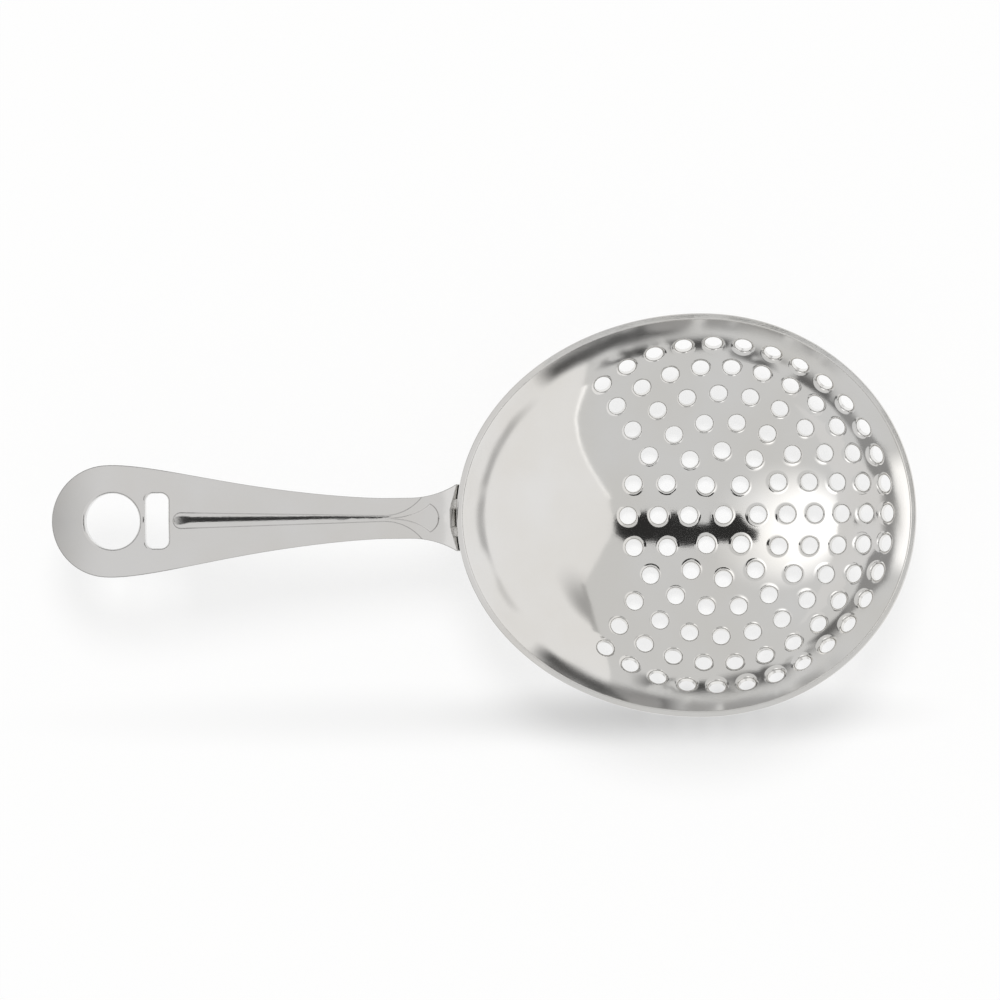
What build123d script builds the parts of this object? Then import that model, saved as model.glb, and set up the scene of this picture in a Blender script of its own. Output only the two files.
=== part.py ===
from build123d import *
import os
from math import acos, asin, atan2, cos, degrees, hypot, radians, sin, sqrt, tan

# Julep strainer: a perforated, egg-shaped sheet bowl with a stamped strip handle welded on.
# Millimetres. +X runs from the handle to the bowl's tip, +Y across and +Z up, out of the
# open bowl. The origin is under the middle of the overall length, at the level of the
# bowl's lowest point, and the rim is level.

# Bowl: two half-ellipsoids that share their widest section
bowl_half_width = 38.6
bowl_to_handle = 46.8       # from the widest section to the rim, on the handle's side
bowl_to_tip = 41.1          # from the widest section to the rim, at the tip
bowl_depth = 21.0
sheet = 1.2
rim_round = 0.3             # the cut edge of the rim is polished over on both sides

# Perforations: rings of holes round a middle hole, each square to the wall
hole_diameter = 3.2
middle_hole = 4.8           # from the widest section towards the tip
first_ring = 6.7            # from the middle hole, along the wall
ring_pitch = 5.8            # from ring to ring, along the wall
ring_count = 6
ring_growth = 6             # holes that each ring has more than the one inside it
full_rings = 3
open_arc = 135.0            # the other rings stop this far either side of the tip, degrees
ring_drift = 1.9            # how far the outermost ring is drawn towards the handle

# Handle: an arched strip with a round pad at its end and a foot bent down the bowl
handle_length = 77.3        # from the end of the pad to the rim
strip = 2.0
pad_radius = 10.7
taper_lean = 9.0            # of the handle's sides where they leave the pad, degrees
taper_pull = 0.6            # how far the taper keeps its direction at both ends
waist_from_rim = 40.6       # a place on the taper between pad and neck
waist_width = 13.6
neck_from_rim = 13.2
neck_width = 7.8
flare_from_rim = 8.8
foot_width = 12.8
foot_reach = 2.9            # of the foot under the bowl, inwards from the rim
foot_corner = 2.0
arch_lean = 13.0            # slope of the arch at both its ends, degrees
bend_radius = 3.5
seat_depth = 3.0            # below the rim, where the bend meets the bowl's wall
lap_gap = 0.1               # braze film between the foot and the wall

# Flanks: the handle falls away on both sides of a crowned ridge, which fans out to the foot
flank_fall = 4.0            # degrees
crown_radius = 12.0
ridge_height = 0.2
ridge_from_end = 23.3
ridge_width = 3.0           # at its rounded end on the pad
ridge_narrow_width = 1.1
ridge_narrow_from_rim = 14.0
fan_from_rim = 5.2          # where the fan reaches the handle's sides
scoop_from_rim = 5.0        # to the corners of the shallow scoop in the fan
scoop_width = 5.4           # at its crescent end
scoop_bulge = 1.7           # of the crescent
scoop_dip = 0.35            # of the scoop at its crescent end

# Pierced in the pad: a round hanging eye and a cross slot
eye_from_end = 11.5
eye_diameter = 10.6
slot_from_end = 20.1
slot_length = 10.4
slot_width = 4.4
slot_corner = 1.5
pierced_round = 0.45        # rolled edge round the eye and the slot, on the upper side

# Weld: two tacks in the groove between the handle's bend and the rim
tack_radius = 1.1
tack_spread = 2.6           # of each tack from the middle
tack_depth = 1.6            # of a tack's middle below the rim

# Where the bowl stands
rim_z = bowl_depth
overall_length = handle_length + bowl_to_handle + bowl_to_tip
end_x = -overall_length / 2
rim_x = end_x + handle_length
widest_x = rim_x + bowl_to_handle

# The handle's side view. The bend ends flat against the wall, and its centre lies square
# off the wall there; the arch runs on from the bend, so that both its ends are level.
lap_reach = bowl_to_handle + lap_gap
lap_depth = bowl_depth + lap_gap
seat_turn = asin(seat_depth / lap_depth)
seat_x = widest_x - lap_reach * cos(seat_turn)
wall_lean = atan2(sin(seat_turn) / lap_depth, cos(seat_turn) / lap_reach)
bend_x = seat_x - bend_radius * cos(wall_lean)
bend_z = rim_z - seat_depth - bend_radius * sin(wall_lean)
lean = radians(arch_lean)
arch_span = bend_x + bend_radius * sin(lean) - end_x
arch_radius = arch_span / 2 / sin(lean)
arch_x = end_x + arch_span / 2
arch_z = bend_z + (bend_radius - arch_radius) * cos(lean)

foot_end_x = rim_x - lap_gap + foot_reach
foot_end_z = rim_z - lap_depth * sqrt(1 - (1 - foot_reach / lap_reach) ** 2)

# The foot hugs the bowl, so the handle is swept about the centre of the rim's curve there
pivot_x = rim_x + bowl_half_width**2 / bowl_to_handle
overrun = 1.0               # of the swept strip past the end that the outline trims, degrees
half_sweep = 1.2 * degrees(asin(foot_width / 2 / (pivot_x - foot_end_x)))


def half_ellipsoid_below(reach, half_width, depth, turn):
    """Half of an egg form, on one side of its widest section: a quarter of a ball, stretched."""
    with BuildPart() as half:
        with BuildSketch(Plane.YZ):
            with BuildLine():
                CenterArc((0, 0), depth, 270, 90)
                Polyline((0, -depth), (0, 0), (depth, 0))
            make_face()
        revolve(axis=Axis((0, 0, 0), (0, 0, turn)), revolution_arc=180)
        scale(by=(reach / depth, half_width / depth, 1))
    return half.part


def half_bowl_below(reach, turn):
    """Half of the sheet bowl, on one side of its widest section, both edges of its rim rounded."""
    with BuildPart() as half:
        add(half_ellipsoid_below(reach, bowl_half_width, bowl_depth, turn))
        hollow = half_ellipsoid_below(
            reach - sheet, bowl_half_width - sheet, bowl_depth - sheet, turn)
        add(hollow, mode=Mode.SUBTRACT)
        rim = half.faces().sort_by(Axis.Z)[-1]
        fillet(rim.edges().filter_by(lambda edge: edge.length > 2 * sheet), rim_round)
    return half.part


def two_halves(half_on_handle_side, half_on_tip_side):
    """Both halves, joined where the bowl stands."""
    with BuildPart() as whole:
        with Locations((widest_x, 0, rim_z)):
            add(half_on_handle_side)
            add(half_on_tip_side)
    return whole.part


def climb(travel):
    """How far out, in plan, a walk of this length up the side wall from the bottom gets."""
    width = bowl_half_width - sheet / 2
    depth = bowl_depth - sheet / 2
    turn = 0
    step = 0.001
    while travel > 0:
        travel -= step * hypot(width * cos(turn), depth * sin(turn))
        turn += step
    return width * sin(turn)


def hole_plane(x, y):
    """Plane on the middle of the wall at this place from the widest section's centre."""
    reach = (bowl_to_tip if x > 0 else bowl_to_handle) - sheet / 2
    width = bowl_half_width - sheet / 2
    depth = bowl_depth - sheet / 2
    z = -depth * sqrt(1 - (x / reach) ** 2 - (y / width) ** 2)
    square_to_wall = (x / reach**2, y / width**2, z / depth**2)
    return Plane((widest_x + x, y, rim_z + z), z_dir=square_to_wall)


def hole_planes():
    """A plane for every perforation, ring by ring."""
    planes = [hole_plane(middle_hole, 0)]
    for ring in range(1, ring_count + 1):
        radius = climb(first_ring + (ring - 1) * ring_pitch)
        centre = middle_hole - ring_drift * (ring / ring_count) ** 2
        places = ring * ring_growth
        for place in range(places):
            turn = 360 * place / places
            from_tip = min(turn, 360 - turn)
            if ring <= full_rings or from_tip <= open_arc:
                x = centre + radius * cos(radians(turn))
                y = radius * sin(radians(turn))
                planes.append(hole_plane(x, y))
    return planes


def arch_plane(x):
    """Plane on the handle's upper face at this x, square to the arch."""
    turn = asin((x - arch_x) / arch_radius)
    place = (x, 0, arch_z + arch_radius * cos(turn))
    return Plane(place, x_dir=(cos(turn), 0, -sin(turn)), z_dir=(sin(turn), 0, cos(turn)))


# The scoop's floor leaves the upper face at the ridge and is deepest at the crescent
scoop_start = arch_plane(rim_x - ridge_narrow_from_rim)
scoop_end = arch_plane(rim_x - scoop_from_rim).offset(-scoop_dip)
scoop_run = scoop_end.origin - scoop_start.origin
scoop_floor = Plane(scoop_start.origin, x_dir=scoop_run, z_dir=scoop_run.cross(Vector(0, 1, 0)))
scoop_length = scoop_run.length

# Bowl: pressed from sheet, its holes pierced square to the wall
with BuildPart() as bowl:
    add(two_halves(half_bowl_below(bowl_to_handle, 1), half_bowl_below(bowl_to_tip, -1)))
    with Locations(*hole_planes()):
        Cylinder(hole_diameter / 2, 3 * sheet, mode=Mode.SUBTRACT)
bowl.part.label = "bowl"

# Land that stands a step above the flanks: the ridge, its fan and all of the foot
with BuildPart() as land:
    with BuildSketch():
        with BuildLine():
            tip = CenterArc((end_x + ridge_from_end + ridge_width / 2, 0), ridge_width / 2, 90, 90)
            narrow = (rim_x - ridge_narrow_from_rim, ridge_narrow_width / 2)
            side = Line(tip @ 0, narrow)
            fan = TangentArc(narrow, (rim_x - fan_from_rim, foot_width / 2), tangent=side % 1)
            Polyline(fan @ 1, (pivot_x, foot_width / 2), (pivot_x, 0), tip @ 1)
        make_face()
        mirror(about=Plane.XZ)
    extrude(amount=2 * rim_z)


def roof_cut(top_radius):
    """All that lies above two flanks, which fall away along the arch from a rounded crown."""
    reach = pad_radius + strip
    height = arch_radius + strip
    fall = radians(flank_fall)
    run = reach - crown_radius * sin(fall)
    start_turn = arch_lean + 2 * overrun
    start_tilt = radians(-start_turn)
    square_to_arch = Plane(
        (arch_x, 0, arch_z), x_dir=(0, 1, 0), z_dir=(cos(start_tilt), 0, -sin(start_tilt)))
    with BuildPart() as cut:
        with BuildSketch(square_to_arch):
            with BuildLine():
                crown = CenterArc((0, top_radius - crown_radius), crown_radius, 90, -flank_fall)
                flank = Line(crown @ 1, (reach, (crown @ 1).Y - run * tan(fall)))
                Polyline(flank @ 1, (reach, height), (0, height), crown @ 0)
            make_face()
            mirror(about=Plane.YZ)
        revolve(axis=Axis((arch_x, 0, arch_z), (0, 1, 0)), revolution_arc=2 * start_turn)
    return cut.part


# Handle: stamped from strip, arched, its foot bent down to lie on the bowl
with BuildPart() as handle:
    swing = radians(half_sweep)
    side_view = Plane(
        (pivot_x, 0, 0), x_dir=(cos(swing), -sin(swing), 0), z_dir=(-sin(swing), -cos(swing), 0))
    with BuildSketch(side_view):
        with BuildLine():
            start_turn = 90 + arch_lean + overrun
            CenterArc(
                (arch_x - pivot_x, arch_z), arch_radius, start_turn, 90 - arch_lean - start_turn)
            bend_turn = 90 - arch_lean - degrees(wall_lean)
            bend = CenterArc((bend_x - pivot_x, bend_z), bend_radius, 90 - arch_lean, -bend_turn)
            TangentArc(bend @ 1, (foot_end_x - pivot_x, foot_end_z), tangent=bend % 1)
            offset(amount=strip, side=Side.RIGHT)
        make_face()
    revolve(axis=Axis((pivot_x, 0, 0), (0, 0, 1)), revolution_arc=2 * half_sweep)

    # The blank's outline, seen from above
    with BuildSketch():
        with BuildLine():
            end = CenterArc((end_x + pad_radius, 0), pad_radius, 180, taper_lean - 90)
            waist = (rim_x - waist_from_rim, waist_width / 2)
            taper = Spline(
                end @ 1, waist, (rim_x - neck_from_rim, neck_width / 2),
                tangents=(end % 1, (1, 0)), tangent_scalars=(taper_pull, taper_pull))
            neck = Line(taper @ 1, (rim_x - flare_from_rim, neck_width / 2))
            flare = TangentArc(neck @ 1, (rim_x, foot_width / 2), tangent=(1, 0))
            side = Line(flare @ 1, (rim_x + foot_reach - foot_corner, foot_width / 2))
            corner = JernArc(side @ 1, side % 1, foot_corner, -90)
            Polyline(corner @ 1, ((corner @ 1).X, 0), end @ 0)
        make_face()
        mirror(about=Plane.XZ)
    extrude(amount=2 * rim_z, mode=Mode.INTERSECT)

    # It is pressed to a shallow roof, whose flanks lie a step below the land
    add(roof_cut(arch_radius), mode=Mode.SUBTRACT)
    add(roof_cut(arch_radius - ridge_height) - land.part, mode=Mode.SUBTRACT)

    # Scoop in the fan, deepest at its crescent end
    with BuildSketch(scoop_floor):
        with BuildLine():
            edge = Spline(
                (0, 0), (scoop_length, scoop_width / 2), tangents=((1, 0), (1, 1)))
            crescent = ThreePointArc(
                edge @ 1, (scoop_length + scoop_bulge, 0), (scoop_length, -scoop_width / 2))
            mirror(edge, about=Plane.XZ)
        make_face()
    extrude(amount=strip, mode=Mode.SUBTRACT)

    # The hanging eye and the cross slot, pierced square to the arch and rolled over above
    for from_end in (eye_from_end, slot_from_end):
        pierced = arch_plane(end_x + from_end)
        with BuildSketch(pierced):
            if from_end == eye_from_end:
                Circle(eye_diameter / 2)
            else:
                RectangleRounded(slot_width, slot_length, slot_corner)
        extrude(amount=2 * strip, both=True, mode=Mode.SUBTRACT)
        cut_edges = handle.edges(Select.LAST)
        fillet(
            [edge for edge in cut_edges if pierced.to_local_coords(edge.center()).Z > -strip / 2],
            pierced_round)
handle.part.label = "handle"

# Weld: two tacks in the groove behind the rim, each touching the wall and the bend
egg_form = two_halves(
    half_ellipsoid_below(bowl_to_handle, bowl_half_width, bowl_depth, 1),
    half_ellipsoid_below(bowl_to_tip, bowl_half_width, bowl_depth, -1))
with BuildPart() as weld_tacks:
    with Locations((rim_x, 0, rim_z - tack_depth)):
        with GridLocations(0, 2 * tack_spread, 1, 2):
            Sphere(tack_radius)
    add(egg_form, mode=Mode.SUBTRACT)
    add(handle.part, mode=Mode.SUBTRACT)
weld_tacks.part.label = "weld_tacks"

os.makedirs("parts", exist_ok=True)
for piece in (bowl, handle, weld_tacks):
    export_step(piece.part, f"parts/{piece.part.label}.step")
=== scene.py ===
from math import acos, asin, cos, degrees, exp, hypot, pi, radians, sin, sqrt, tan

import bpy
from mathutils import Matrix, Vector
from mathutils.geometry import delaunay_2d_cdt


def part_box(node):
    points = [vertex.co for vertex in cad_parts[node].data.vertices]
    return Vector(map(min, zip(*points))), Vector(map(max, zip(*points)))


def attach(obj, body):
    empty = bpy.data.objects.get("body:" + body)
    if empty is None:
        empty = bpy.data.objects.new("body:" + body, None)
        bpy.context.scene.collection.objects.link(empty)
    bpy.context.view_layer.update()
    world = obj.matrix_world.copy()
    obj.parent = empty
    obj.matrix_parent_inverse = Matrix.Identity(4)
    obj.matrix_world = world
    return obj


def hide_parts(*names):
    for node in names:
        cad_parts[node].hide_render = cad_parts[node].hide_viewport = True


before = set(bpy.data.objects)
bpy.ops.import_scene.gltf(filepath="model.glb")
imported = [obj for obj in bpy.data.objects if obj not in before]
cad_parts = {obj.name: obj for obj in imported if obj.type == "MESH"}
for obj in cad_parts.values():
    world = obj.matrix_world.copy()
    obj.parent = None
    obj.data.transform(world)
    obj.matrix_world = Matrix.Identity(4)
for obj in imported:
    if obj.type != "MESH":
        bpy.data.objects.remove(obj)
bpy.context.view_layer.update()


# --- Bowl -----------------------------------------------------------------------------------
# Stainless sheet of 1.2 mm, pressed to an egg shape, its rim cut flat and polished. The holes
# are pierced from inside, which rolls their inner edges over. It is polished all over after
# that, so it mirrors the room and keeps only fine scratches.

mm = 0.001
bowl_low, bowl_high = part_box("bowl")
sheet = 1.2 * mm
to_handle = 46.8 * mm
to_tip = 41.1 * mm
half_width = bowl_high.y
depth = bowl_high.z - bowl_low.z
widest_x = bowl_low.x + to_handle
rim_z = bowl_high.z
rim_round = 0.3 * mm
tiny = 1e-9


def reach_at(x, inset):
    return (to_tip if x > 0 else to_handle) - inset


def wall_point(px, py, inset):
    """A place on the wall: the domain is a disc, its middle the bottom and its edge the rim."""
    out = hypot(px, py)
    if out < tiny:
        return Vector((0, 0, -(depth - inset)))
    turn = out * pi / 2
    c, s = px / out, py / out
    return Vector((reach_at(c, inset) * sin(turn) * c, (half_width - inset) * sin(turn) * s,
                   -(depth - inset) * cos(turn)))


def domain_of(p, inset):
    """The place in the disc that a point of the wall comes from."""
    x, y = p.x / reach_at(p.x, inset), p.y / (half_width - inset)
    out = min(1, hypot(x, y))
    turn = asin(out) / (pi / 2)
    return (0, 0) if out < tiny else (x / out * turn, y / out * turn)


def outward(p, inset):
    reach = reach_at(p.x, inset)
    return Vector((p.x / reach ** 2, p.y / (half_width - inset) ** 2,
                   p.z / (depth - inset) ** 2)).normalized()


steep_from = 34  # degrees
steep_span = 9.5
steep_fade = 12


def polished(n):
    """The wheel can't reach into the steep wall by the rim, and leaves its skin less steep."""
    tilt = degrees(acos(min(1, abs(n.z))))
    if tilt < steep_from:
        return n
    left = radians(steep_from + steep_span * (1 - exp((steep_from - tilt) / steep_fade)))
    side = Vector((n.x, n.y, 0)).normalized() * sin(left)
    side.z = cos(left) if n.z > 0 else -cos(left)
    return side


def onto_wall(p, axis, inset):
    """Slides a point along an axis until it lies on the wall."""
    width, deep = half_width - inset, depth - inset
    for _ in range(8):
        reach = reach_at(p.x, inset)
        past = (p.x / reach) ** 2 + (p.y / width) ** 2 + (p.z / deep) ** 2 - 1
        slope = 2 * (p.x * axis.x / reach ** 2 + p.y * axis.y / width ** 2
                     + p.z * axis.z / deep ** 2)
        p = p - axis * (past / slope)
    return p


# The holes stand in rings round a middle hole. The rings are evenly spaced along the wall, and
# each lies a little nearer to the handle. The outer three stop short on the handle's side.
middle_hole = 4.8 * mm
first_ring = 6.7 * mm
ring_pitch = 5.8 * mm
ring_drift = 1.9 * mm
ring_count = 6
whole_rings = 3
last_turn = 135


def climb(travel):
    """How far out, in plan, a walk of this length up the side wall from the bottom gets."""
    width, deep = half_width - sheet / 2, depth - sheet / 2
    turn, step = 0, 0.001
    while travel > 0:
        travel -= step * hypot(width * cos(turn), deep * sin(turn))
        turn += step
    return width * sin(turn)


places = [(middle_hole, 0.0)]
for ring in range(1, ring_count + 1):
    radius = climb(first_ring + (ring - 1) * ring_pitch)
    centre = middle_hole - ring_drift * (ring / ring_count) ** 2
    count = 6 * ring
    for i in range(count):
        turn = 360 * i / count
        if ring <= whole_rings or min(turn, 360 - turn) <= last_turn:
            places.append((centre + radius * cos(radians(turn)), radius * sin(radians(turn))))

holes = []
for x, y in places:
    reach, width, deep = (reach_at(x, sheet / 2), half_width - sheet / 2, depth - sheet / 2)
    middle = Vector((x, y, -deep * sqrt(1 - (x / reach) ** 2 - (y / width) ** 2)))
    axis = outward(middle, sheet / 2)
    across = axis.cross(Vector((0, 1, 0))).normalized()
    holes.append((middle, axis, across, axis.cross(across)))

# The sheet is laid out flat as a disc: the edge of each hole, the ring of the dimple that the
# punch leaves round it, the rim, and an even field of points between them.
hole_radius = 1.6 * mm
hole_roll = 0.4 * mm
back_roll = 0.1 * mm
dimple = 0.45 * mm
dimple_tilt = radians(9)
edge_radius = hole_radius + hole_roll
hole_sides = 28
rim_sides = 360
pitch = 0.02
row_pitch = pitch * 0.866
rim_gap = 0.7 * pitch
dimple_gap = 0.4 * mm

flat = []
loops = []
dimples = []
for middle, axis, across, along in holes:
    for radius, group in ((edge_radius, loops), (edge_radius + dimple, dimples)):
        loop = []
        for k in range(hole_sides):
            a = 2 * pi * k / hole_sides
            p = onto_wall(middle + (across * cos(a) + along * sin(a)) * radius, axis, sheet / 2)
            loop.append(len(flat))
            flat.append(Vector(domain_of(p, sheet / 2)))
        group.append(loop)

rim_turn = 2 / pi * (pi / 2 - asin(rim_round / depth))
rim_loop = []
for k in range(rim_sides):
    a = 2 * pi * k / rim_sides
    rim_loop.append(len(flat))
    flat.append(Vector((rim_turn * cos(a), rim_turn * sin(a))))

rows = int(1 / row_pitch) + 1
half_row = int(1 / pitch) + 2
for j in range(-rows, rows + 1):
    for i in range(-half_row, half_row):
        px, py = (i + 0.5 * (j % 2)) * pitch, j * row_pitch
        if hypot(px, py) > rim_turn - rim_gap:
            continue
        p = wall_point(px, py, sheet / 2)
        if min((p - hole[0]).length for hole in holes) > edge_radius + dimple + dimple_gap:
            flat.append(Vector((px, py)))

edges = [(loop[k], loop[(k + 1) % len(loop)]) for loop in loops + dimples + [rim_loop]
         for k in range(len(loop))]
laid, _, laid_faces, sources, _, _ = delaunay_2d_cdt([v.to_2d() for v in flat], edges, [], 0, 1e-7)
assert len(laid) == len(flat)
hole_of = {v: h for h, loop in enumerate(loops) for v in loop}
tris = []
for face in laid_faces:
    face = [sources[v][0] for v in face]
    owners = {hole_of.get(v, -1) for v in face}
    if len(owners) > 1 or -1 in owners:
        tris.append(face)

verts, normals, faces = [], [], []


def add(p, n):
    verts.append(p + Vector((widest_x, 0, rim_z)))
    normals.append(n.normalized())
    return len(verts) - 1


def join(lower, upper):
    """Closes the gap between two rings of as many points."""
    for k in range(len(lower)):
        m = (k + 1) % len(lower)
        faces.append([lower[k], upper[k], upper[m], lower[m]])


def skin(inset, facing, roll):
    """One side of the sheet, without its hole edges: 1 faces outwards, -1 faces inwards."""
    start = {}
    for v, place in enumerate(flat):
        if v in hole_of:
            middle, axis, across, along = holes[hole_of[v]]
            a = 2 * pi * ((v - loops[hole_of[v]][0]) / hole_sides)
            spoke = across * cos(a) + along * sin(a)
            p = onto_wall(middle + spoke * (hole_radius + roll), axis, inset)
            n = outward(p, inset) * facing
            if facing < 0:
                n = polished(n) - spoke * sin(dimple_tilt)
        else:
            p = wall_point(place.x, place.y, inset)
            if v in rim_set:
                p.z = -rim_round
            n = outward(p, inset) * facing
            if facing < 0:
                n = polished(n)
        start[v] = add(p, n)
    for face in tris:
        turned = [start[v] for v in face]
        faces.append(turned if facing < 0 else turned[::-1])
    return start


rim_set = set(rim_loop)
inner = skin(sheet, -1, hole_roll)
outer = skin(0, 1, back_roll)

# Each side turns into a hole, and over the rim, by a quarter round.
roll_steps = 4
for h, loop in enumerate(loops):
    middle, axis, across, along = holes[h]
    rings = []
    for inset, facing, roll, side in ((sheet, -1, hole_roll, inner), (0, 1, back_roll, outer)):
        turned = [[side[v] for v in loop]]
        for s in range(1, roll_steps + 1):
            t = s / roll_steps * pi / 2
            ring = []
            for k in range(hole_sides):
                a = 2 * pi * k / hole_sides
                spoke = across * cos(a) + along * sin(a)
                flush = middle + spoke * (hole_radius + roll * (1 - sin(t)))
                p = onto_wall(flush, axis, inset) - axis * facing * roll * (1 - cos(t))
                ring.append(add(p, axis * facing * cos(t) - spoke * sin(t)))
            turned.append(ring)
        rings.append(turned)
    bands = rings[0] + rings[1][::-1]
    for lower, upper in zip(bands, bands[1:]):
        join(lower, upper)

rings = []
for inset, facing, side in ((sheet, -1, inner), (0, 1, outer)):
    turned = [[side[v] for v in rim_loop]]
    for s in range(1, roll_steps + 1):
        t = s / roll_steps * pi / 2
        ring = []
        for v in rim_loop:
            p = wall_point(flat[v].x / rim_turn, flat[v].y / rim_turn, inset)
            out = outward(p, inset)
            out.z = 0
            out.normalize()
            p = p - out * facing * rim_round * (1 - cos(t))
            p.z = -rim_round * (1 - sin(t))
            ring.append(add(p, out * facing * cos(t) + Vector((0, 0, sin(t)))))
        turned.append(ring)
    rings.append(turned)
bands = rings[0] + rings[1][::-1]
for lower, upper in zip(bands, bands[1:]):
    join(lower, upper)

bowl_mesh = bpy.data.meshes.new("polished_bowl")
bowl_mesh.from_pydata(verts, [], faces)
bowl_mesh.polygons.foreach_set("use_smooth", [True] * len(faces))
bowl_mesh.normals_split_custom_set_from_vertices(normals)
bowl_mesh.validate()
bowl = bpy.data.objects.new("polished_bowl", bowl_mesh)
bpy.context.collection.objects.link(bowl)
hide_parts("bowl")
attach(bowl, "root")

stain_tint = (0.965, 0.955, 0.935)
# Painted shade with some grime, laid on the colour along worn edges and creases.
edge_shade_and_grime_tint = (0.72, 0.71, 0.7)


def steel(name, colour, roughness, wave, scratch, edge=None):
    """Polished steel: faint stains in its colour, hazier patches, a wavy skin, fine scratches.
    With an edge, its corners are worn round by that radius, and painted shade with some grime
    darkens them."""
    material = bpy.data.materials.new(name)
    material.use_nodes = True
    tree = material.node_tree
    shader = tree.nodes["Principled BSDF"]
    shader.inputs["Metallic"].default_value = 1
    place = tree.nodes.new("ShaderNodeTexCoord")

    def noise(scale, detail, stretch=None):
        texture = tree.nodes.new("ShaderNodeTexNoise")
        texture.inputs["Scale"].default_value = scale
        texture.inputs["Detail"].default_value = detail
        source = place.outputs["Object"]
        if stretch:
            fit = tree.nodes.new("ShaderNodeMapping")
            fit.inputs["Scale"].default_value = stretch
            fit.inputs["Rotation"].default_value = (0, 0, radians(35))
            tree.links.new(source, fit.inputs["Vector"])
            source = fit.outputs["Vector"]
        tree.links.new(source, texture.inputs["Vector"])
        return texture.outputs["Fac"]

    def between(value, low, high, start=0.35, end=0.65):
        level = tree.nodes.new("ShaderNodeMapRange")
        level.inputs["From Min"].default_value = start
        level.inputs["From Max"].default_value = end
        level.inputs["To Min"].default_value = low
        level.inputs["To Max"].default_value = high
        tree.links.new(value, level.inputs["Value"])
        return level.outputs["Result"]

    def tinted(tint):
        return (*(c * t for c, t in zip(colour, tint)), 1)

    stain = tree.nodes.new("ShaderNodeMix")
    stain.data_type = "RGBA"
    stain.inputs["A"].default_value = (*colour, 1)
    stain.inputs["B"].default_value = tinted(stain_tint)
    tree.links.new(between(noise(60, 4), 0, 1), stain.inputs["Factor"])
    tree.links.new(stain.outputs["Result"], shader.inputs["Base Color"])
    haze = between(noise(160, 6), roughness * 0.8, roughness * 1.3)
    tree.links.new(haze, shader.inputs["Roughness"])

    wavy = tree.nodes.new("ShaderNodeBump")
    wavy.inputs["Distance"].default_value = 1
    wavy.inputs["Strength"].default_value = 1
    tree.links.new(between(noise(90, 1), 0, wave, 0, 1), wavy.inputs["Height"])
    scratched = tree.nodes.new("ShaderNodeBump")
    scratched.inputs["Distance"].default_value = 1
    scratches = between(noise(900, 3, (1, 9, 9)), 0, scratch, 0.3, 0.7)
    tree.links.new(scratches, scratched.inputs["Height"])
    tree.links.new(wavy.outputs["Normal"], scratched.inputs["Normal"])
    tree.links.new(scratched.outputs["Normal"], shader.inputs["Normal"])
    if edge:
        worn = tree.nodes.new("ShaderNodeBevel")
        worn.samples = 8
        worn.inputs["Radius"].default_value = edge
        tree.links.new(worn.outputs["Normal"], wavy.inputs["Normal"])
        unworn = tree.nodes.new("ShaderNodeNewGeometry")
        bend = tree.nodes.new("ShaderNodeVectorMath")
        bend.operation = "DOT_PRODUCT"
        tree.links.new(worn.outputs["Normal"], bend.inputs[0])
        tree.links.new(unworn.outputs["Normal"], bend.inputs[1])
        # Painted shade, partly grime: the colour darkens where the worn normal turns away from the
        # flat one.
        edge_shade_and_grime = tree.nodes.new("ShaderNodeMix")
        edge_shade_and_grime.data_type = "RGBA"
        edge_shade_and_grime.inputs["B"].default_value = tinted(edge_shade_and_grime_tint)
        tree.links.new(between(bend.outputs["Value"], 1, 0, 0.9, 0.995), edge_shade_and_grime.inputs["Factor"])
        tree.links.new(stain.outputs["Result"], edge_shade_and_grime.inputs["A"])
        tree.links.new(edge_shade_and_grime.outputs["Result"], shader.inputs["Base Color"])
    return material


bowl_polish = steel("bowl_polish", (0.84, 0.835, 0.825), roughness=0.06,
                    wave=0.06 * mm, scratch=0.0006 * mm)
bowl_mesh.materials.append(bowl_polish)


# --- Handle ---------------------------------------------------------------------------------
# A stamped and arched stainless strip of 2 mm. A ridge is pressed up along its middle, the eye
# and the cross slot are pierced, and the foot is bent down over the bowl's wall. It is polished
# like the bowl, with its cut edges rounded by the wheel.

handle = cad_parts["handle"]
handle_polish = steel("handle_polish", (0.8, 0.798, 0.795), roughness=0.07,
                      wave=0.02 * mm, scratch=0.0008 * mm, edge=0.3 * mm)
handle.data.materials.clear()
handle.data.materials.append(handle_polish)


# --- Weld tacks -----------------------------------------------------------------------------
# Two small tacks in the groove between the handle's bend and the bowl's rim hold the handle to
# the bowl. The wheel misses the groove, so they are duller and rougher than the rest.

weld_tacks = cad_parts["weld_tacks"]
weld_steel = steel("weld_steel", (0.7, 0.69, 0.67), roughness=0.25,
                   wave=0.05 * mm, scratch=0.003 * mm, edge=0.2 * mm)
weld_tacks.data.materials.clear()
weld_tacks.data.materials.append(weld_steel)


# --- Floor -----------------------------------------------------------------------------------
# A sheet of white paper that the strainer lies on. The camera and the steel see it near white,
# with the strainer's soft shadow. A painted shadow dims its own glow in two soft ovals beside the
# bowl.

floor_size = 6
glow_share = 0.7
painted_shadow_y = -38.6 * mm
painted_shadow_half_width = 8 * mm
painted_shadows = ((38 * mm, 56 * mm, 0.36), (-6 * mm, 100 * mm, 0.11))

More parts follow.
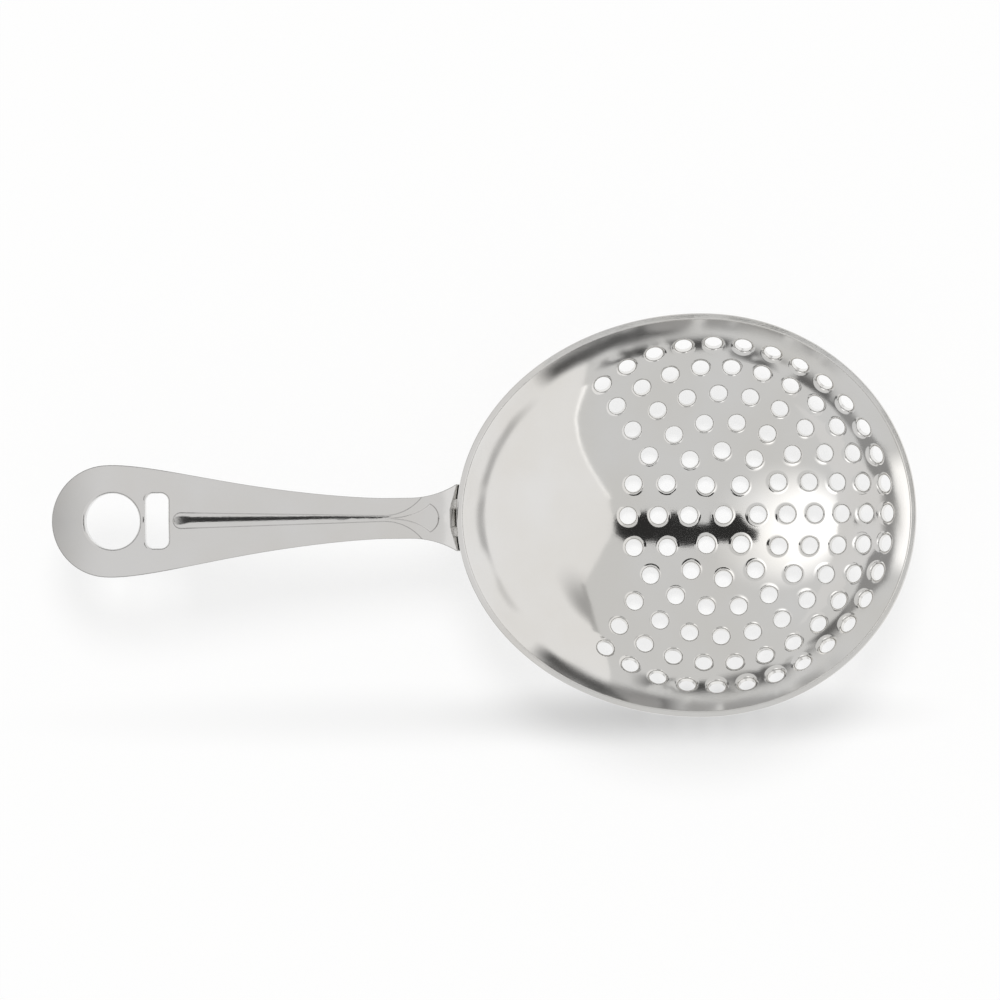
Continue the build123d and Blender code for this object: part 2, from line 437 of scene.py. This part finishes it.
bpy.ops.object.select_all(action="DESELECT")
bpy.ops.mesh.primitive_plane_add(size=floor_size)
floor = bpy.context.object
floor.name = "floor"
paper = bpy.data.materials.new("white_paper")
paper.use_nodes = True
tree = paper.node_tree
shader = tree.nodes["Principled BSDF"]
shader.inputs["Base Color"].default_value = (0.96, 0.96, 0.96, 1)
shader.inputs["Specular IOR Level"].default_value = 0
shader.inputs["Roughness"].default_value = 1
glow = tree.nodes.new("ShaderNodeEmission")
glow.inputs["Strength"].default_value = 1
place = tree.nodes.new("ShaderNodeTexCoord")
light_left = glow.inputs["Strength"]
# Each oval is a painted shadow: it lowers the paper's glow there by its strength.
for middle_x, half_length, strength in painted_shadows:
    fit = tree.nodes.new("ShaderNodeMapping")
    fit.vector_type = "TEXTURE"
    fit.inputs["Location"].default_value = (middle_x, painted_shadow_y, 0)
    fit.inputs["Scale"].default_value = (half_length, painted_shadow_half_width, 1)
    oval = tree.nodes.new("ShaderNodeTexGradient")
    oval.gradient_type = "SPHERICAL"
    tree.links.new(place.outputs["Object"], fit.inputs["Vector"])
    tree.links.new(fit.outputs["Vector"], oval.inputs["Vector"])
    shade = tree.nodes.new("ShaderNodeMapRange")
    shade.interpolation_type = "SMOOTHSTEP"
    shade.inputs["To Max"].default_value = strength
    tree.links.new(oval.outputs["Fac"], shade.inputs["Value"])
    less = tree.nodes.new("ShaderNodeMath")
    less.operation = "SUBTRACT"
    less.inputs[0].default_value = 1
    tree.links.new(shade.outputs["Result"], less.inputs[1])
    tree.links.new(less.outputs[0], light_left)
    light_left = less.inputs[0]
path = tree.nodes.new("ShaderNodeLightPath")
seen = tree.nodes.new("ShaderNodeMath")
seen.operation = "MAXIMUM"
share = tree.nodes.new("ShaderNodeMath")
share.operation = "MULTIPLY"
share.inputs[1].default_value = glow_share
blend = tree.nodes.new("ShaderNodeMixShader")
tree.links.new(path.outputs["Is Camera Ray"], seen.inputs[0])
tree.links.new(path.outputs["Is Glossy Ray"], seen.inputs[1])
tree.links.new(seen.outputs[0], share.inputs[0])
tree.links.new(share.outputs[0], blend.inputs["Fac"])
tree.links.new(shader.outputs["BSDF"], blend.inputs[1])
tree.links.new(glow.outputs["Emission"], blend.inputs[2])
tree.links.new(blend.outputs["Shader"], tree.nodes["Material Output"].inputs["Surface"])
floor.data.materials.append(paper)


# --- Light tent ------------------------------------------------------------------------------
# The strainer lies in a tent of white cloth, which it mirrors. The world is the cloth on the
# left, and a brighter panel hangs on the right. The rest are cards that only reflections see:
# the camera's slit, a lamp's glow, a flag over the handle, and the dark room by the horizon.

cloth_light = 0.66
cloth_mirrored = 0.68
world = bpy.data.worlds.new("tent")
bpy.context.scene.world = world
world.use_nodes = True
tree = world.node_tree
cloth = tree.nodes["Background"]
cloth.inputs["Color"].default_value = (1, 0.998, 0.99, 1)
path = tree.nodes.new("ShaderNodeLightPath")
level = tree.nodes.new("ShaderNodeMapRange")
level.inputs["To Min"].default_value = cloth_light
level.inputs["To Max"].default_value = cloth_mirrored
tree.links.new(path.outputs["Is Glossy Ray"], level.inputs["Value"])
tree.links.new(level.outputs["Result"], cloth.inputs["Strength"])

tent_height = 3.0


def tent_card(name, corners, strength, shade=None):
    """A card that glows at this strength. The shade says how solid it is from place to place."""
    mesh = bpy.data.meshes.new(name)
    mesh.from_pydata(corners, [], [list(range(len(corners)))])
    card = bpy.data.objects.new(name, mesh)
    bpy.context.collection.objects.link(card)
    material = bpy.data.materials.new(name)
    material.use_nodes = True
    tree = material.node_tree
    tree.nodes.remove(tree.nodes["Principled BSDF"])
    light = tree.nodes.new("ShaderNodeEmission")
    light.inputs["Color"].default_value = (1, 0.99, 0.98, 1)
    light.inputs["Strength"].default_value = strength
    surface = light.outputs["Emission"]
    if shade:
        clear = tree.nodes.new("ShaderNodeBsdfTransparent")
        mix = tree.nodes.new("ShaderNodeMixShader")
        tree.links.new(shade(tree), mix.inputs["Fac"])
        tree.links.new(clear.outputs["BSDF"], mix.inputs[1])
        tree.links.new(surface, mix.inputs[2])
        surface = mix.outputs["Shader"]
    tree.links.new(surface, tree.nodes["Material Output"].inputs["Surface"])
    mesh.materials.append(material)
    card.visible_camera = False
    card.visible_diffuse = False
    card.visible_shadow = False


def overhead(x, y, height=tent_height):
    """The place at this height that lies x and y heights away from the middle."""
    return (x * height, y * height, height)


def soft_spot(middle, size):
    """Fades from the middle to the edge of an oval."""
    def shade(tree):
        place = tree.nodes.new("ShaderNodeTexCoord")
        fit = tree.nodes.new("ShaderNodeMapping")
        fit.vector_type = "TEXTURE"
        fit.inputs["Location"].default_value = middle
        fit.inputs["Scale"].default_value = (*size, 1)
        fade = tree.nodes.new("ShaderNodeTexGradient")
        fade.gradient_type = "SPHERICAL"
        tree.links.new(place.outputs["Object"], fit.inputs["Vector"])
        tree.links.new(fit.outputs["Vector"], fade.inputs["Vector"])
        level = tree.nodes.new("ShaderNodeMapRange")
        level.interpolation_type = "SMOOTHSTEP"
        level.inputs["From Max"].default_value = 0.8
        tree.links.new(fade.outputs["Fac"], level.inputs["Value"])
        return level.outputs["Result"]
    return shade


def torn(first, last, low, high, scale, hold):
    """Fades out at its ends, at its lower and upper edge, and in patches between them."""
    def shade(tree):
        place = tree.nodes.new("ShaderNodeTexCoord")
        split = tree.nodes.new("ShaderNodeSeparateXYZ")
        tree.links.new(place.outputs["Object"], split.inputs["Vector"])
        flattened = tree.nodes.new("ShaderNodeVectorMath")
        flattened.operation = "MULTIPLY"
        flattened.inputs[1].default_value = (1, 1, 0)
        tree.links.new(place.outputs["Object"], flattened.inputs[0])
        bearing = tree.nodes.new("ShaderNodeVectorMath")
        bearing.operation = "NORMALIZE"
        tree.links.new(flattened.outputs["Vector"], bearing.inputs[0])
        middle_turn, half_turn = radians((first + last) / 2), radians((last - first) / 2)
        along = tree.nodes.new("ShaderNodeVectorMath")
        along.operation = "DOT_PRODUCT"
        along.inputs[1].default_value = (cos(middle_turn), sin(middle_turn), 0)
        tree.links.new(bearing.outputs["Vector"], along.inputs[0])
        cloud = tree.nodes.new("ShaderNodeTexNoise")
        cloud.inputs["Scale"].default_value = scale
        cloud.inputs["Detail"].default_value = 2
        tree.links.new(place.outputs["Object"], cloud.inputs["Vector"])
        value = None
        middle = (low + high) / 2
        for source, start, end in (
                (cloud.outputs["Fac"], 0.56 - hold, 0.68 - hold),
                (split.outputs["Z"], low, low + (middle - low) * 0.8),
                (split.outputs["Z"], high, high + (middle - high) * 0.8),
                (along.outputs["Value"], cos(half_turn), cos(half_turn * 0.6))):
            fade = tree.nodes.new("ShaderNodeMapRange")
            fade.interpolation_type = "SMOOTHSTEP"
            fade.inputs["From Min"].default_value = start
            fade.inputs["From Max"].default_value = end
            tree.links.new(source, fade.inputs["Value"])
            if value is None:
                value = fade.outputs["Result"]
                continue
            both = tree.nodes.new("ShaderNodeMath")
            both.operation = "MULTIPLY"
            tree.links.new(value, both.inputs[0])
            tree.links.new(fade.outputs["Result"], both.inputs[1])
            value = both.outputs[0]
        return value
    return shade


def band(name, first, last, lowest, highest, strength, scale, hold):
    """Part of a ring round the strainer, between two bearings and two heights, in degrees."""
    low, high = tent_height * tan(radians(lowest)), tent_height * tan(radians(highest))
    turns = [radians(first + (last - first) * k / 12) for k in range(13)]
    corners = [(tent_height * cos(a), tent_height * sin(a), low) for a in turns]
    corners += [(tent_height * cos(a), tent_height * sin(a), high) for a in reversed(turns)]
    tent_card(name, corners, strength, torn(first, last, low, high, scale, hold))


# The bright panel ends in a point. Light comes through its seams, and one fold of it is dim.
far_edge = [(0.37, 0.03), (0.40, -0.10), (0.60, -0.45), (0.93, -1.06), (1.52, -2.43), (17.8, -40)]
near_edge = [(0.37, 0.03), (0.40, 0.14), (0.62, 0.51), (0.66, 0.75), (0.81, 1.31), (14.2, 40)]
panel_outline = far_edge + [(40, -40), (40, 40)] + near_edge[:0:-1]
tent_card("bright_panel", [overhead(x, y) for x, y in panel_outline], 0.88)

seam_height = 0.97 * tent_height
for name, edge, width, strength in (("far_seam", far_edge[1:5], 0.009, 1.25),
                                    ("near_seam", near_edge[2:5], -0.02, 0.52)):
    beside = [(x - width * (1 + x * x + y * y), y) for x, y in edge]
    tent_card(name, [overhead(x, y, seam_height) for x, y in edge + beside[::-1]], strength)

fold_height = 0.95 * tent_height
fold_width = 0.5
fold = near_edge[1:5] + [(x + fold_width, y) for x, y in near_edge[4:0:-1]]
tent_card("near_fold", [overhead(x, y, fold_height) for x, y in fold], 0.42,
          soft_spot(overhead(0.68, 0.84, fold_height), (0.3 * fold_height, 0.52 * fold_height)))

# The camera looks through a ragged slit, which is cut away over the bowl's flat rim.
slit_height = 0.85 * tent_height
slit = [(0.375, 0.03), (0.355, -0.015), (0.24, -0.022), (0.15, -0.012), (0.095, -0.02),
        (0.085, 0.045), (-0.005, 0.045), (-0.02, -0.015), (-0.15, -0.005), (-0.19, 0.05),
        (-0.252, 0.085), (-0.24, 0.15), (-0.15, 0.158), (-0.06, 0.142), (0.1, 0.158),
        (0.2, 0.142), (0.32, 0.155), (0.37, 0.11)]
tent_card("camera_slit", [overhead(x, y, slit_height) for x, y in slit], 0.03)

glow_height = 0.9 * tent_height
glow_corners = [(-3, -1.6), (-0.05, -1.6), (-0.05, 1.6), (-3, 1.6)]
tent_card("lamp_glow", [overhead(x, y, glow_height) for x, y in glow_corners], 1.5,
          soft_spot(overhead(-0.66, 0.1, glow_height), (0.7 * glow_height, 0.5 * glow_height)))

# The flag hangs low over the handle and keeps the lamp off it. The room shows dim past its
# sides and its end, and black through a thin gap along the handle.
flag_z = 61 * mm
flag_dark = 0.3
for name, strength, corners in (
        ("handle_flag", 0.74, ((-125, -24), (12, -45), (12, 45), (-125, 24))),
        ("far_shade", flag_dark, ((-125, 24), (-62, 34), (-62, 105), (-125, 105))),
        ("near_shade", flag_dark, ((-125, -24), (-62, -34), (-62, -105), (-125, -105))),
        ("end_shade", flag_dark, ((-126, -105), (-126, 105), (-205, 105), (-205, -105)))):
    tent_card(name, [(x * mm, y * mm, flag_z) for x, y in corners], strength)

under_flag = flag_z - mm
stain_corners = ((-124, -24), (-80, -24), (-80, 24), (-124, 24))
tent_card("flag_stain", [(x * mm, y * mm, under_flag) for x, y in stain_corners], 0.42,
          soft_spot((-122 * mm, 0, under_flag), (36 * mm, 60 * mm)))
gap_corners = ((-64, -2.6), (-6, 1.4), (-6, 3.6), (-64, 4.4))
tent_card("flag_gap", [(x * mm, y * mm, under_flag) for x, y in gap_corners], 0.04)

# Below the cloth: the lamp's spill on the left, the dark room on both sides, the table's edge.
band("lamp_spill", 158, 202, 0, 11, 1.3, 0.8, 0.4)
band("far_room", 184, 272, 8, 20, 0.14, 1.6, 0.16)
band("near_room", 88, 176, 8, 20, 0.14, 1.6, 0.16)
band("far_doorway", 272, 312, 2.5, 9.5, 0.1, 1.2, 0.26)
band("near_doorway", 46, 86, 2, 9, 0.1, 1.2, 0.26)
band("far_shelf", 256, 298, 8, 17, 0.08, 3.2, 0.16)
band("near_shelf", 70, 116, 8, 17, 0.08, 3.2, 0.16)
band("far_wall", 228, 300, 1, 8, 0.36, 2.4, 0.16)
band("near_wall", 60, 132, 1, 8, 0.36, 2.4, 0.16)
band("table_edge", -48, 42, 7.5, 13, 0.5, 0.7, 0.12)

# The lamp's light on the floor comes from the far side, so the shadow falls to the near one.
lamp_tilt = radians(30)
lamp_share = 0.35
bpy.ops.object.select_all(action="DESELECT")
bpy.ops.object.light_add(type="SUN", rotation=(-lamp_tilt, 0, 0))
sun = bpy.context.object
sun.name = "lamp"
sun.data.energy = lamp_share * pi / cos(lamp_tilt)
sun.data.angle = radians(22)
sun.visible_glossy = False


# --- Camera ----------------------------------------------------------------------------------
# It looks straight down into the bowl through a long lens, turned by half a degree. The width
# of the view is set at the height of the rim.

camera_height = 1.6
frame_width = 191 * mm
camera_turn = radians(-0.6)
lens = bpy.data.cameras.new("camera")
camera = bpy.data.objects.new("camera", lens)
bpy.context.collection.objects.link(camera)
bpy.context.scene.camera = camera
lens.sensor_width = 36
lens.lens = lens.sensor_width * (camera_height - rim_z) / frame_width
camera.location = (3.07 * mm, 3.3 * mm, camera_height)
camera.rotation_euler = (0, 0, camera_turn)
bpy.context.scene.view_settings.view_transform = "Standard"
